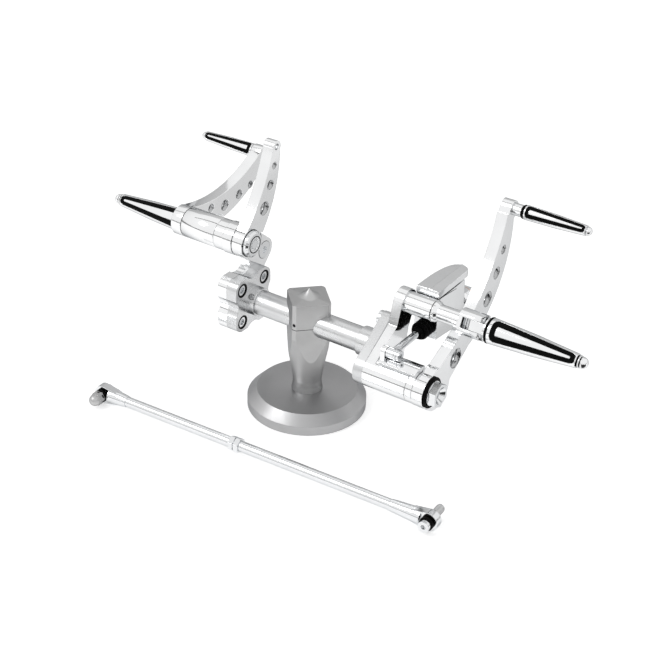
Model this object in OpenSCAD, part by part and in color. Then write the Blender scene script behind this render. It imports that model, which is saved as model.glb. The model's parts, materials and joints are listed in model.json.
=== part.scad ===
// Motorcycle forward controls shown on a bar and a round stand: a shift control at the
// left end, a brake control at the right end and the shift rod on the floor in front.
// X runs along the bar to the brake side, Y points to the front of the bike, Z is up.
// The origin is the middle of the stand's underside.

/* [Stand] */
// Radius of the round base
base_r = 60; // [50:1:75]
// Height of the base's upright rim
rim_h = 9.7; // [6:0.1:14]
// Height of the base's bevel above the rim
bevel_h = 9.3; // [5:0.1:12]
// Side of the square clamp head
head_w = 38; // [36:0.5:44]
// Width of the flat cut on each upright edge of the head
edge_cut = 4.6; // [2:0.1:7]
// Height of the bar's centre line above the floor
bar_z = 96.3; // [88:0.1:110]
// Height of the clamp cap at its edges
cap_h = 26.5; // [20:0.5:32]
// Height of the point on top of the cap
point_h = 9; // [4:0.5:14]

/* [Bar] */
// Outer radius of the bar
bar_r = 12.6; // [11:0.1:14]
// Wall of the bar
bar_wall = 2.6; // [2:0.1:4]
// Length of the bar on the shift side of the stand
bar_left = 67; // [60:1:80]
// Length of the bar on the brake side of the stand
bar_right = 82; // [75:1:95]
// Radius of the collars on the bar
collar_r = 14.6; // [14:0.1:16]
// Length of the collar on the shift side
collar_left = 10; // [6:0.5:16]
// Length of the collar on the brake side
collar_right = 18.5; // [12:0.5:24]

/* [Flange and brackets] */
// Distance between the flange bolts, both ways
bolt_pitch = 36; // [32:0.5:40]
// Radius of each flange lobe
lobe_r = 10.5; // [9:0.1:12]
// Thickness of the shift side flange
flange_t = 12; // [10:0.5:14]
// Thickness of the shift bracket
shift_bracket_t = 11; // [9:0.5:13]
// Thickness of the brake mounting plate
brake_plate_t = 10; // [8:0.5:12]
// Thickness of the brake bracket
brake_bracket_t = 10; // [8:0.5:12]
// Radius of the flange bolts' shanks
bolt_r = 4; // [3:0.5:5]
// Distance from the bar's centre line forward to the shift side foot peg
left_peg_y = 34.4; // [32:0.2:38]
// Height of the shift side foot peg above the bar's centre line
left_peg_z = 37.9; // [34:0.2:42]
// Distance from the bar's centre line forward to the brake side foot peg
right_peg_y = 17.5; // [15:0.2:19]
// Height of the brake side foot peg above the bar's centre line
right_peg_z = 47.5; // [46:0.2:52]

/* [Shift control] */
// Distance of the shift pivot behind the bar's centre line
shift_back = 5; // [2:0.5:8]
// Height of the shift pivot above the bar's centre line
shift_up = 65.7; // [62:0.1:70]
// Radius of the shift hubs
shift_hub_r = 15.5; // [14:0.1:16.5]
// Radius of the shift shaft
shift_shaft_r = 7; // [6:0.5:8]
// Thickness of the inner shift arm
shift_arm_t = 12; // [9:0.5:12]
// Length of the bearing in the shift bracket
shift_bearing_l = 22; // [18:0.5:26]
// Length of the shift lever's hub
shift_hub_l = 41; // [34:0.5:46]
// Thickness of the shift lever's blade
shift_blade_t = 12; // [9:0.5:13]
// Radius of the rod hole at the top of the inner arm
rod_hole_r = 3.2; // [3:0.1:3.6]

/* [Brake control] */
// Distance of the brake pivot behind the bar's centre line
brake_back = 30.5; // [29:0.5:33]
// Depth of the brake pivot below the bar's centre line
brake_down = 6.7; // [5:0.1:9]
// Radius of the brake hubs
brake_hub_r = 16; // [15:0.1:17]
// Radius of the brake shaft
brake_shaft_r = 7; // [6:0.5:8]
// Length of the bearing housing outside the brake bracket
brake_bearing_l = 36.5; // [34:0.5:40]
// Thickness of the brake arm's hub
brake_arm_t = 7; // [6:0.5:9]
// Thickness of the brake lever's blade
brake_blade_t = 11.5; // [9:0.5:13]
// Radius from the brake pivot to the push rod's pin
pin_reach = 27.4; // [26:0.1:29]
// Width of the master cylinder's body
cylinder_w = 24.5; // [22:0.5:26]
// Length of the master cylinder's body
cylinder_l = 63; // [58:1:70]
// Radius of the master cylinder's bore
bore_r = 7; // [6:0.5:8]

/* [Foot and toe pegs] */
// Length of the foot peg's post up to its neck
post_l = 28; // [24:0.5:32]
// Radius of the foot peg's post
post_r = 10.6; // [9:0.1:10.8]
// Distance from the bracket to the fold pin
fold_x = 72; // [68:0.5:76]
// Lean of the fold pin from upright, in degrees
fold_lean = 24; // [0:1:45]
// Radius of the foot peg at its root
peg_r = 12.4; // [10.5:0.1:13]
// Radius of the foot peg at its tip
peg_tip_r = 6.8; // [5:0.1:8]
// Length of the foot peg's tapered body
peg_l = 85.5; // [70:0.5:90]
// Radius of the toe peg at its root
toe_r = 7.2; // [6:0.1:8]
// Radius of the toe peg at its tip
toe_tip_r = 5; // [4:0.1:6]
// Length of the toe peg's tapered body
toe_l = 62; // [52:1:72]
// Height by which the rubber inlays stand proud
proud = 0.4; // [0.2:0.1:0.8]
// Depth of the grooves for the rubber inlays
groove_d = 1.2; // [1:0.1:1.6]

/* [Shift rod] */
// Distance between the eyes of the shift rod
rod_pitch = 370; // [300:5:380]
// Radius of the shift rod's tube
rod_r = 5.3; // [4.5:0.1:6]
// Radius of the rod ends' eyes
eye_r = 9.5; // [9:0.1:11]
// Radius of the studs through the rod ends
stud_r = 4; // [3:0.5:4.5]

/* [Hidden] */
$fn = 48;

// Clearances: a running fit on shafts and pins, a gap beside faces that slide past each
// other and a small gap between screws and their holes
run = 0.05;
gap = 0.4;
slack = 0.1;

base_h = rim_h + bevel_h;
floor_t = 5;
base_top_r = base_r - bevel_h;
cap_z = bar_z + cap_h;

// Planes across the bar, from its ends outwards
left_x = -bar_left;
left_bracket_x = left_x - flange_t;
left_face_x = left_bracket_x - shift_bracket_t;
right_x = bar_right;
right_bracket_x = right_x + brake_plate_t;
right_face_x = right_bracket_x + brake_bracket_t;

// Centres seen along the bar, as [forward, up]
bar_c = [0, bar_z];
shift_c = [-shift_back, bar_z + shift_up];
brake_c = [-brake_back, bar_z - brake_down];
left_peg_c = [left_peg_y, bar_z + left_peg_z];
right_peg_c = [right_peg_y, bar_z + right_peg_z];

// Shift control planes
shift_bearing_x = left_bracket_x - shift_bearing_l;
shift_hub_x = shift_bearing_x - gap;
shift_blade_x = shift_hub_x - shift_hub_l;
shift_end_x = shift_blade_x - shift_blade_t;
shift_arm_x = left_bracket_x + gap;
shift_arm_top = shift_c + [42.5, 87];
shift_toe_c = shift_c + [125, 29.3];

// Brake control planes
brake_bearing_x = right_face_x + brake_bearing_l;
brake_arm_x = brake_bearing_x + gap;
brake_lever_x = brake_arm_x + brake_arm_t + gap;
brake_end_x = brake_lever_x + brake_blade_t;
brake_toe_c = brake_c + [138, 132.5];

// The push rod's pin stands a little behind the pivot, so that it passes over the top
// halfway through the stroke
pin_lean = 4;
pin_c = brake_c + pin_reach * [-sin(pin_lean), cos(pin_lean)];
rod_x = right_face_x + cylinder_w / 2 + 1.5;
pin_r = 3;
pin_play = 0.35;
stroke = 6.2;

// Master cylinder
cylinder_y = right_peg_c[0] + post_r + 1.4;
cylinder_end_y = cylinder_y + cylinder_l;
cylinder_low_z = pin_c[1] - 15;
cylinder_top_z = pin_c[1] + 31;
cover_t = 8;
gasket_t = 1.2;

// Post, clamp studs and the grub screws that lock them
waist_r = 14.2;
waist_h = 8;
foot_flare = 1.5;
post_spread = 13.2;
hip = 7;
stud_m = 2.5;
stud_l = 28;
stud_y = head_w / sqrt(2) - edge_cut / 2 - 5.4;
grub_r = 1.8;
grub_up = 5;

// Bolt heads
socket_r = 6.4;
socket_h = 8;
socket_key = 3.6;
recess = 8;
peg_bolt_r = 5;
peg_head_r = 9;
peg_head_h = 5;
toe_bolt_r = 3;

// Bar ends: how far the bar stops short of the flange's face and the collar's end wall
bar_inset = 3;
plug_t = 6;

// Bushes
bush_t = 1.5;
bush_l = 10;

// Bosses
peg_boss_r = 13;
toe_boss_r = 8;
peg_relief_r = 19.6;
plate_boss_r = 8;
plate_boss = [6, bar_z + 27.7];
bracket_spots = [plate_boss, brake_c + [11.5, 14.4], brake_c + [17.5, -5.6]];
heel_c = brake_c + [13, -3.1];
heel_r = 22;

// Brake arm: the bar that carries the lug runs outside the bearing housing
arm_in_r = brake_hub_r + 1;
arm_out_r = arm_in_r + 4.5;
lug_x = rod_x - 9.5;
lug_t = 5;
lug_r = 6.5;
push_rod_r = 3.5;
push_eye_r = 5.2;
push_eye_t = 8;

// Foot peg stations along its axis, from the bracket's face
neck_r = 8;
ear_r = 10.4;
tongue_t = 10;
fold_pin_r = 3;
shoulder_x = fold_x + ear_r + 1.1;
peg_x = shoulder_x + 6;
peg_swell = 0.7;
loop_turn = 167;

// Toe peg stations from the lever's face
toe_neck_l = 9;
toe_neck_r = 6;
toe_root = 1.6;
toe_x = 12.6;

// Shift rod: the middle of the rod, its turn on the floor and its height
rod_mid = [20.6, -110.4];
rod_turn = 2.6;
rod_z = eye_r;
eye_t = 8.4;
ball_r = 6;
neck_pin_r = 2.8;
seam_left = 29;
seam_right = 40;
mid_nut_x = -31;
seal_y = 5.4;
seal_t = 2.6;
seal_r = 6.8;

function unit(v) = v / norm(v);
function left_of(v) = [-v[1], v[0]];
// Radius and centre of the arc from a to b that bulges by s to the right of the way there
function arc_r(a, b, s) = (norm(b - a) * norm(b - a) / 4 + s * s) / (2 * s);
function arc_c(a, b, s) = (a + b) / 2 + left_of(unit(b - a)) * (arc_r(a, b, s) - s);
function spot(r, t) = r * [cos(t), sin(t)];

// A plate from x to x + t whose outline is drawn as [forward, up]
module plate(x, t) {
  translate([x, 0, 0]) rotate([90, 0, 90]) linear_extrude(t) children();
}

// A round bar along X from xa to xb on the centre c
module round_x(xa, xb, r, c) {
  translate([min(xa, xb), c[0], c[1]]) rotate([0, 90, 0]) cylinder(h = abs(xb - xa), r = r);
}

// A hexagon along X from xa to xb, measured across its flats
module hex_x(xa, xb, flats, c) {
  translate([min(xa, xb), c[0], c[1]]) rotate([0, 90, 0])
    cylinder(h = abs(xb - xa), r = flats / sqrt(3), $fn = 6);
}

module disc(c, r) {
  translate(c) circle(r);
}

// The disc whose edge is the arc from a to b that bulges by s
module arc_disc(a, b, s) {
  translate(arc_c(a, b, s)) circle(arc_r(a, b, s), $fn = 720);
}

// Two discs and the straight sides that touch both
module web(a, ra, b, rb) {
  d = norm(b - a);
  t = atan2(b[1] - a[1], b[0] - a[0]);
  k = acos((ra - rb) / d);
  disc(a, ra);
  disc(b, rb);
  polygon([a + spot(ra, t - k), b + spot(rb, t - k), b + spot(rb, t + k), a + spot(ra, t + k)]);
}

// A blade between a front arc and a rear arc that both bulge the same way
module blade(front_a, front_b, front_s, rear_a, rear_b, rear_s) {
  intersection() {
    difference() {
      arc_disc(front_a, front_b, front_s);
      arc_disc(rear_a, rear_b, rear_s);
    }
    polygon([rear_a - unit(front_a - rear_a), front_a + 20 * unit(front_a - rear_a),
             front_b + 60 * unit(front_b - rear_b), rear_b - unit(front_b - rear_b)]);
  }
}

// A ring of round section around the X axis
module oring_x(x, r, wire) {
  translate([x, 0, 0]) rotate([0, 90, 0]) rotate_extrude() translate([r, 0]) circle(wire, $fn = 24);
}

// A socket head screw that points along -Z, with its head's top at the origin
module socket_screw(r, l, head_r, head_h, key) {
  difference() {
    union() {
      translate([0, 0, -head_h]) cylinder(h = head_h, r = head_r);
      translate([0, 0, -head_h - l]) cylinder(h = l + 0.01, r = r);
    }
    translate([0, 0, -head_h * 0.6]) cylinder(h = head_h, r = key, $fn = 6);
  }
}

// Stand

module base_disc() {
  color("silver") difference() {
    rotate_extrude($fn = 96)
      polygon([[0, 0], [base_r, 0], [base_r, rim_h], [base_top_r, base_h], [0, base_h]]);
    translate([0, 0, floor_t]) cylinder(h = base_h, r = bolt_r);
  }
}

// A stud that holds the post on the base
module base_stud() {
  color("dimgray") translate([0, 0, floor_t]) cylinder(h = base_h - floor_t + 18, r = bolt_r);
}

// The clamp head in plan: a square with cut corners, set cornerwise to the bar
module head_plan() {
  rotate(45) intersection() {
    square(head_w, center = true);
    rotate(45) square(head_w * sqrt(2) - edge_cut, center = true);
  }
}

module stud_spots() {
  for (side = [-1, 1]) translate([0, side * stud_y, 0]) children();
}

// Height of the hipped top above the cap's edges at a radius from the middle
function point_base(r) = (head_w / 2 - r) * tan(hip) * 0.9;

// Radius of the post at a height above the base: a small foot, a waist and a swept taper
function post_radius(h) =
  waist_r + foot_flare * exp(-pow(h / 5, 2)) + post_spread * pow(max(h - waist_h, 0) / (bar_z - base_h - waist_h), 1.25);

// The post is a square bar turned to a swept taper, which leaves a pointed flat on each side
module stand_post() {
  steps = 14;
  top = bar_z - base_h;
  color("silver") difference() {
    intersection() {
      translate([0, 0, base_h]) linear_extrude(top) head_plan();
      translate([0, 0, base_h]) rotate_extrude($fn = 96)
        polygon(concat([[0, 0]], [for (i = [0 : steps]) [post_radius(top * i / steps), top * i / steps]],
                       [[0, top]]));
    }
    round_x(-head_w, head_w, bar_r, bar_c);
    translate([0, 0, base_h - 1]) cylinder(h = 20, r = bolt_r);
    stud_spots() translate([0, 0, bar_z - stud_l / 2]) cylinder(h = stud_l, r = stud_m + run);
  }
}

// The cap's top rises gently from each side to a hollow-ground point
module clamp_cap() {
  dish_r = head_w * 0.42;
  steps = 10;
  color("silver") difference() {
    union() {
      difference() {
        translate([0, 0, bar_z]) linear_extrude(cap_h + head_w / 2 * tan(hip)) head_plan();
        for (a = [45 : 90 : 315]) rotate(a) translate([head_w / 2, 0, cap_z]) rotate([0, hip, 0])
          translate([-head_w, -head_w, 0]) cube([2 * head_w, 2 * head_w, head_w]);
      }
      translate([0, 0, cap_z]) rotate_extrude()
        polygon(concat([[0, 0]], [for (i = [0 : steps])
          [dish_r * (1 - i / steps), point_base(dish_r) + point_h * pow(i / steps, 2.2)]]));
    }
    round_x(-head_w, head_w, bar_r, bar_c);
    stud_spots() translate([0, 0, bar_z - stud_l / 2]) cylinder(h = stud_l, r = stud_m + run);
    for (side = [0, 1]) rotate(side * 180) translate([0, -head_w, bar_z + grub_up]) rotate([-90, 0, 0])
      cylinder(h = head_w - stud_y, r = grub_r);
  }
}

module clamp_studs() {
  color("gray") stud_spots() translate([0, 0, bar_z - stud_l / 2 + 1]) cylinder(h = stud_l - 2, r = stud_m);
}

module clamp_grub_screws() {
  color("dimgray") for (side = [0, 1]) rotate(side * 180)
    translate([0, -stud_y - stud_m - run, bar_z + grub_up]) rotate([90, 0, 0]) difference() {
      cylinder(h = 2.6, r = grub_r - run);
      translate([0, 0, 1.2]) cylinder(h = 3, r = 1, $fn = 6);
    }
}

// Bar and flange

module lobe_spots() {
  for (y = [-1, 1], z = [-1, 1]) translate([0, y * bolt_pitch / 2, bar_z + z * bolt_pitch / 2]) children();
}

// A four-lobed outline: a lobe on each bolt and a body that dips in between them
module clover() {
  dip_r = 13;
  reach = bolt_pitch / 2 + lobe_r;
  translate(bar_c) difference() {
    union() {
      for (y = [-1, 1], z = [-1, 1]) translate(bolt_pitch / 2 * [y, z]) circle(lobe_r);
      square([2 * reach, bolt_pitch], center = true);
      square([bolt_pitch, 2 * reach], center = true);
    }
    for (a = [0 : 90 : 270]) rotate(a) translate([reach - 3.6 + dip_r, 0]) circle(dip_r);
  }
}

module cross_bar() {
  color("lightgray") difference() {
    round_x(left_bracket_x + bar_inset, right_x - plug_t, bar_r, bar_c);
    round_x(left_bracket_x, right_x, bar_r - bar_wall, bar_c);
  }
}

module bar_flange() {
  color("silver") difference() {
    union() {
      plate(left_bracket_x, flange_t) clover();
      round_x(left_x, left_x + collar_left, collar_r, bar_c);
    }
    round_x(left_bracket_x + bar_inset, 0, bar_r, bar_c);
    round_x(left_bracket_x - 1, 0, bar_r - bar_wall, bar_c);
    lobe_spots() round_x(left_bracket_x - 1, left_x + 1, bolt_r, [0, 0]);
    lobe_spots() round_x(left_x - recess, left_x + 1, socket_r + 0.6, [0, 0]);
  }
}

// A plug with a collar that closes the bar's brake end
module bar_collar() {
  color("silver") difference() {
    round_x(right_x - collar_right, right_x, collar_r, bar_c);
    round_x(right_x - collar_right - 1, right_x - plug_t, bar_r, bar_c);
    round_x(0, right_x + 1, bolt_r, bar_c);
  }
}

// A socket screw along X whose head's outer face is at x; dir is the way that it points
module screw_x(x, dir, l, r, head_r, head_h, key) {
  translate([x, 0, 0]) rotate([0, dir > 0 ? -90 : 90, 0]) socket_screw(r, l, head_r, head_h, key);
}

module collar_bolt() {
  color("dimgray") translate([0, 0, bar_z])
    screw_x(right_bracket_x - 1, -1, plug_t + 5, bolt_r - run, socket_r, brake_plate_t - 4, socket_key);
}

module flange_bolts() {
  color("dimgray") lobe_spots()
    screw_x(left_x - 0.6, -1, flange_t - recess + shift_bracket_t - 3, bolt_r - run, socket_r,
            recess - 0.6, socket_key);
}

// Shift control

module shift_bracket() {
  lobe = bar_c + bolt_pitch / 2 * [1, 1];
  color("gainsboro") difference() {
    union() {
      plate(left_face_x, shift_bracket_t) union() {
        clover();
        web(lobe, lobe_r, left_peg_c, peg_boss_r);
        web(left_peg_c, peg_boss_r, shift_c, shift_hub_r + 0.8);
        polygon([lobe + [-9, 0], lobe + [-8.5, 18], shift_c + [6, -12], left_peg_c, lobe]);
      }
      round_x(shift_bearing_x, left_bracket_x - 1, shift_hub_r, shift_c);
    }
    round_x(shift_bearing_x - 1, left_bracket_x + 1, shift_shaft_r + bush_t, shift_c);
    round_x(left_face_x - 1, left_bracket_x + 1, peg_bolt_r + slack, left_peg_c);
    round_x(left_bracket_x + gap - peg_head_h, left_bracket_x + 1, peg_head_r + slack, left_peg_c);
    lobe_spots() round_x(left_face_x + 2.4, left_bracket_x + 1, bolt_r, [0, 0]);
  }
}

module bush_x(xa, xb, r, c) {
  difference() {
    round_x(xa, xb, r + bush_t, c);
    round_x(min(xa, xb) - 1, max(xa, xb) + 1, r + run, c);
  }
}

module shift_bushes() {
  color("goldenrod") {
    bush_x(left_bracket_x, left_bracket_x - bush_l, shift_shaft_r, shift_c);
    bush_x(shift_bearing_x, shift_bearing_x + bush_l, shift_shaft_r, shift_c);
  }
}

module shift_shaft() {
  color("lightgray") difference() {
    round_x(shift_end_x + 3, shift_arm_x + shift_arm_t, shift_shaft_r, shift_c);
    round_x(shift_arm_x + shift_arm_t - 18, shift_arm_x + shift_arm_t + 1, bolt_r, shift_c);
  }
}

module shift_arm() {
  color("gainsboro") difference() {
    plate(shift_arm_x, shift_arm_t) union() {
      disc(shift_c, shift_hub_r);
      blade(shift_c + [20, 4], shift_arm_top + [5, -0.5], 7.5,
            shift_c + [-10, 11], shift_arm_top + [-5.4, 3], 6.3);
      disc(shift_arm_top, 6.2);
    }
    round_x(shift_arm_x - 1, shift_arm_x + shift_arm_t + 1, shift_shaft_r, shift_c);
    round_x(shift_arm_x - 1, shift_arm_x + shift_arm_t + 1, rod_hole_r, shift_arm_top);
    for (hole = [[38.7, 68.6, 3.8], [32.3, 50.5, 5.2], [22.6, 28.6, 7.2]])
      round_x(shift_arm_x - 1, shift_arm_x + shift_arm_t + 1, hole[2], shift_c + [hole[0], hole[1]]);
  }
}

// A round cap with a fluted face that holds the arm on the shaft
module shift_arm_cap() {
  cap_r = shift_hub_r - 2;
  flutes = 12;
  x = shift_arm_x + shift_arm_t;
  color("lightgray") difference() {
    union() {
      round_x(x, x + 3.5, cap_r, shift_c);
      translate([x + 3.5, shift_c[0], shift_c[1]]) rotate([0, 90, 0])
        cylinder(h = 1.8, r1 = cap_r, r2 = cap_r - 2.2);
      round_x(x - 16, x + 1, bolt_r - run, shift_c);
    }
    for (k = [1 : flutes]) translate([x + 6.6, shift_c[0], shift_c[1]]) rotate([k * 360 / flutes, 0, 0])
      translate([0, 0, cap_r * 0.3]) rotate([0, 12, 0]) cylinder(h = cap_r * 0.55, r = 2, $fn = 16);
  }
}

module shift_lever() {
  holes = [[101.5, 2.4, 4], [82, -2.7, 5.2], [57.6, -4.3, 6], [35, 1.6, 4.4]];
  color("gainsboro") difference() {
    union() {
      round_x(shift_blade_x, shift_hub_x, shift_hub_r, shift_c);
      plate(shift_end_x, shift_blade_t) difference() {
        union() {
          disc(shift_c, shift_hub_r);
          blade(shift_c + [4, -15], shift_toe_c + [9, 3], 27,
                shift_c + [2, 15.2], shift_toe_c + [-7, 2], 10);
          disc(shift_toe_c, toe_boss_r);
        }
        disc(left_peg_c, peg_relief_r);
      }
    }
    round_x(shift_end_x + 3, shift_hub_x + 1, shift_shaft_r, shift_c);
    round_x(shift_end_x - 1, shift_blade_x + 1, toe_bolt_r, shift_toe_c);
    for (hole = holes)
      round_x(shift_end_x - 1, shift_blade_x + 1, hole[2], shift_c + [hole[0], hole[1]]);
  }
}

// Pegs: each is drawn along +Z from its root, with the first rubber loop facing +X

// The section of a tapered body of length l that swells a little in the middle
module taper_section(r0, r1, l, swell) {
  polygon([[0, 0], [r0, 0], [(r0 + r1) / 2 + swell, l / 2], [r1, l], [0, l]]);
}

// Half a loop's outline is mirrored: straight at the root and narrow at the tip
module loop_shape(w0, w1, l, cut) {
  half = [[w0 - cut, 0], [w0 - cut * 0.3, cut * 0.3], [w0, cut], [w1, l - w1 * 0.9], [w1 * 0.8, l - w1 * 0.25],
          [w1 * 0.5, l]];
  polygon(concat(half, [for (i = [5 : -1 : 0]) [-half[i][0], half[i][1]]]));
}

// A rubber loop as seen from outside
module loop_band(w0, w1, l, band) {
  difference() {
    loop_shape(w0, w1, l, band * 0.8);
    translate([0, band]) loop_shape(w0 - band * 1.1, w1 * 0.25, l - 1.9 * band, band * 0.3);
  }
}

module around_loops(z) {
  for (k = [0, 1]) rotate(k * 180 + loop_turn) translate([0, 0, z]) rotate([90, 0, 90])
    linear_extrude(20) children();
}

module peg_shell(r0, r1, l, swell, inner, outer) {
  mid = (r0 + r1) / 2 + swell;
  rotate_extrude() polygon([[r0 - inner, 0], [r0 + outer, 0], [mid + outer, l / 2], [r1 + outer, l],
                            [r1 - inner, l], [mid - inner, l / 2]]);
}

module foot_loops() {
  around_loops(2.2) loop_band(10, 5, peg_l - 3.4, 4.8);
}

module toe_loops() {
  around_loops(1.4) loop_band(5.9, 3.6, toe_l - 2.2, 3.2);
}

module foot_rubbers() {
  intersection() {
    peg_shell(peg_r, peg_tip_r, peg_l, peg_swell, groove_d, proud);
    foot_loops();
  }
}

// Foot peg from its fold pin outwards: tongue, shoulder, ring groove, body, two grooves, ball
module foot_peg() {
  root = peg_x - shoulder_x;
  tip = root + peg_l;
  reach = shoulder_x - fold_x;
  color("gainsboro") difference() {
    union() {
      rotate_extrude() union() {
        square([peg_r - 1.4, 1.9]);
        square([peg_r - 2.8, root]);
        translate([0, root - 0.9]) square([peg_r, 1]);
        translate([0, root]) taper_section(peg_r, peg_tip_r, peg_l, peg_swell);
        square([peg_tip_r - 2.4, tip + 4.2]);
        translate([0, tip + 1.6]) square([peg_tip_r - 0.8, 1.2]);
        translate([0, tip + 4]) square([peg_tip_r - 1.4, 0.6]);
        intersection() {
          translate([0, tip + 4.6]) circle(peg_tip_r - 1.4);
          translate([0, tip + 4.6]) square(20);
        }
      }
      translate([0, tongue_t / 2, -reach]) rotate([90, 0, 0]) linear_extrude(tongue_t) union() {
        circle(ear_r - 1);
        translate([-ear_r + 1, 0]) square([2 * ear_r - 2, reach + 0.5]);
      }
    }
    translate([0, 20, -reach]) rotate([90, 0, 0]) cylinder(h = 40, r = fold_pin_r + run);
    translate([0, 0, root]) intersection() {
      peg_shell(peg_r, peg_tip_r, peg_l, peg_swell, groove_d, 1);
      foot_loops();
    }
  }
}

module foot_ring() {
  color("black") translate([0, 0, 3.5]) rotate_extrude() translate([peg_r - 1.2, 0]) circle(1.45, $fn = 24);
}

// Post of the foot peg from the bracket's face: stem, neck and the fork for the peg
module peg_post() {
  fork_x = fold_x - ear_r - 4.5;
  slot = tongue_t / 2 + gap / 2;
  color("gainsboro") difference() {
    union() {
      rotate_extrude() union() {
        square([post_r, post_l]);
        translate([0, post_l]) square([post_r - 0.6, 1]);
        translate([0, post_l + 1]) taper_section(post_r, neck_r, 5, 0.6);
        square([neck_r, fork_x + 2]);
      }
      intersection() {
        translate([0, 0, fold_x]) rotate([90, 0, 0]) linear_extrude(40, center = true) union() {
          circle(ear_r);
          translate([-ear_r, fork_x - fold_x]) square([2 * ear_r, fold_x - fork_x]);
        }
        translate([0, 0, fork_x]) cylinder(h = 40, r = peg_r + 0.2);
      }
    }
    translate([-20, -slot, fold_x - ear_r - 0.4]) cube([40, 2 * slot, 40]);
    translate([0, 20, fold_x]) rotate([90, 0, 0]) cylinder(h = 40, r = fold_pin_r);
    translate([0, 0, -1]) cylinder(h = 21, r = peg_bolt_r);
  }
}

module fold_pin() {
  color("lightgray") translate([0, 0, fold_x]) rotate([90, 0, 0]) difference() {
    cylinder(h = 2 * peg_r - 1, r = fold_pin_r, center = true);
    translate([0, 0, peg_r - 2.5]) cylinder(h = 4, r = 1.4, $fn = 6);
  }
}

// Turns a peg drawn along +Z so that it points along X on the centre c, from the plane x.
// dir is 1 to the brake side and -1 to the shift side; local Y becomes the fold pin's line.
module on_side(dir, x, c) {
  translate([x, c[0], c[1]]) mirror([dir < 0 ? 1 : 0, 0, 0]) rotate([-fold_lean, 0, 0])
    rotate([90, 0, 0]) rotate([0, 90, 0]) children();
}

module left_side() {
  on_side(-1, left_face_x, left_peg_c) children();
}

module right_side() {
  on_side(1, right_face_x, right_peg_c) children();
}

module left_peg_bolt() {
  color("dimgray") translate([0, left_peg_c[0], left_peg_c[1]])
    screw_x(left_bracket_x + gap, -1, shift_bracket_t + 17 + gap - peg_head_h, peg_bolt_r, peg_head_r,
            peg_head_h, 4);
}

module right_peg_bolt() {
  color("dimgray") translate([0, right_peg_c[0], right_peg_c[1]])
    screw_x(right_bracket_x + gap, 1, brake_bracket_t + 17 - gap - peg_head_h, peg_bolt_r, peg_head_r,
            peg_head_h, 4);
}

module left_peg_post() {
  left_side() peg_post();
}

module right_peg_post() {
  right_side() peg_post();
}

module left_peg_pin() {
  left_side() fold_pin();
}

module right_peg_pin() {
  right_side() fold_pin();
}

module left_peg() {
  left_side() translate([0, 0, shoulder_x]) foot_peg();
}

module right_peg() {
  right_side() translate([0, 0, shoulder_x]) foot_peg();
}

module left_peg_inlays() {
  color("black") left_side() translate([0, 0, peg_x]) foot_rubbers();
}

module right_peg_inlays() {
  color("black") right_side() translate([0, 0, peg_x]) foot_rubbers();
}

module left_peg_ring() {
  left_side() translate([0, 0, shoulder_x]) foot_ring();
}

module right_peg_ring() {
  right_side() translate([0, 0, shoulder_x]) foot_ring();
}

// Toe peg from the lever's face outwards, with a stud back into the lever
module toe_peg(stud, root) {
  tip = root + toe_l;
  color("gainsboro") difference() {
    rotate_extrude() union() {
      translate([0, -stud]) square([toe_bolt_r, stud + 1]);
      square([toe_neck_r, min(toe_neck_l, root)]);
      square([toe_r - 3.2, root + 1]);
      translate([0, root]) taper_section(toe_r, toe_tip_r, toe_l, 0.5);
      square([toe_tip_r - 1.8, tip + 1.2]);
      intersection() {
        translate([0, tip + 1.2]) circle(toe_tip_r - 0.8);
        translate([0, tip + 1.2]) square(20);
      }
    }
    translate([0, 0, root]) intersection() {
      peg_shell(toe_r, toe_tip_r, toe_l, 0.5, groove_d, 1);
      toe_loops();
    }
  }
}

module toe_rubbers(root) {
  translate([0, 0, root]) intersection() {
    peg_shell(toe_r, toe_tip_r, toe_l, 0.5, groove_d, proud);
    toe_loops();
  }
}

module toe_ring() {
  translate([0, 0, toe_x - 1.8]) rotate_extrude() translate([toe_r - 1.7, 0]) circle(1.4, $fn = 24);
}

module shift_toe_peg() {
  on_side(-1, shift_end_x, shift_toe_c) toe_peg(shift_blade_t - 1, toe_root);
}

module shift_toe_rubbers() {
  color("black") on_side(-1, shift_end_x, shift_toe_c) toe_rubbers(toe_root);
}

module brake_toe_peg() {
  on_side(1, brake_end_x, brake_toe_c) toe_peg(brake_blade_t - 1, toe_x);
}

module brake_toe_rubbers() {
  color("black") on_side(1, brake_end_x, brake_toe_c) {
    toe_rubbers(toe_x);
    toe_ring();
  }
}

// Brake control

module brake_plate() {
  color("silver") difference() {
    plate(right_x, brake_plate_t) union() {
      web(brake_c, brake_hub_r, plate_boss, plate_boss_r);
      web(brake_c, brake_hub_r, bar_c, collar_r + 2);
      web(bar_c, collar_r + 2, plate_boss, plate_boss_r);
      polygon([brake_c, bar_c, plate_boss]);
    }
    round_x(right_x - 1, right_bracket_x, bolt_r, bar_c);
    round_x(right_x + 3, right_bracket_x + 1, socket_r + 0.6, bar_c);
    for (c = bracket_spots) round_x(right_x - 1, right_bracket_x + 1, bolt_r, c);
    for (k = [1, 2]) round_x(right_x - 1, right_x + 6, socket_r + 0.4, bracket_spots[k]);
  }
}

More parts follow.
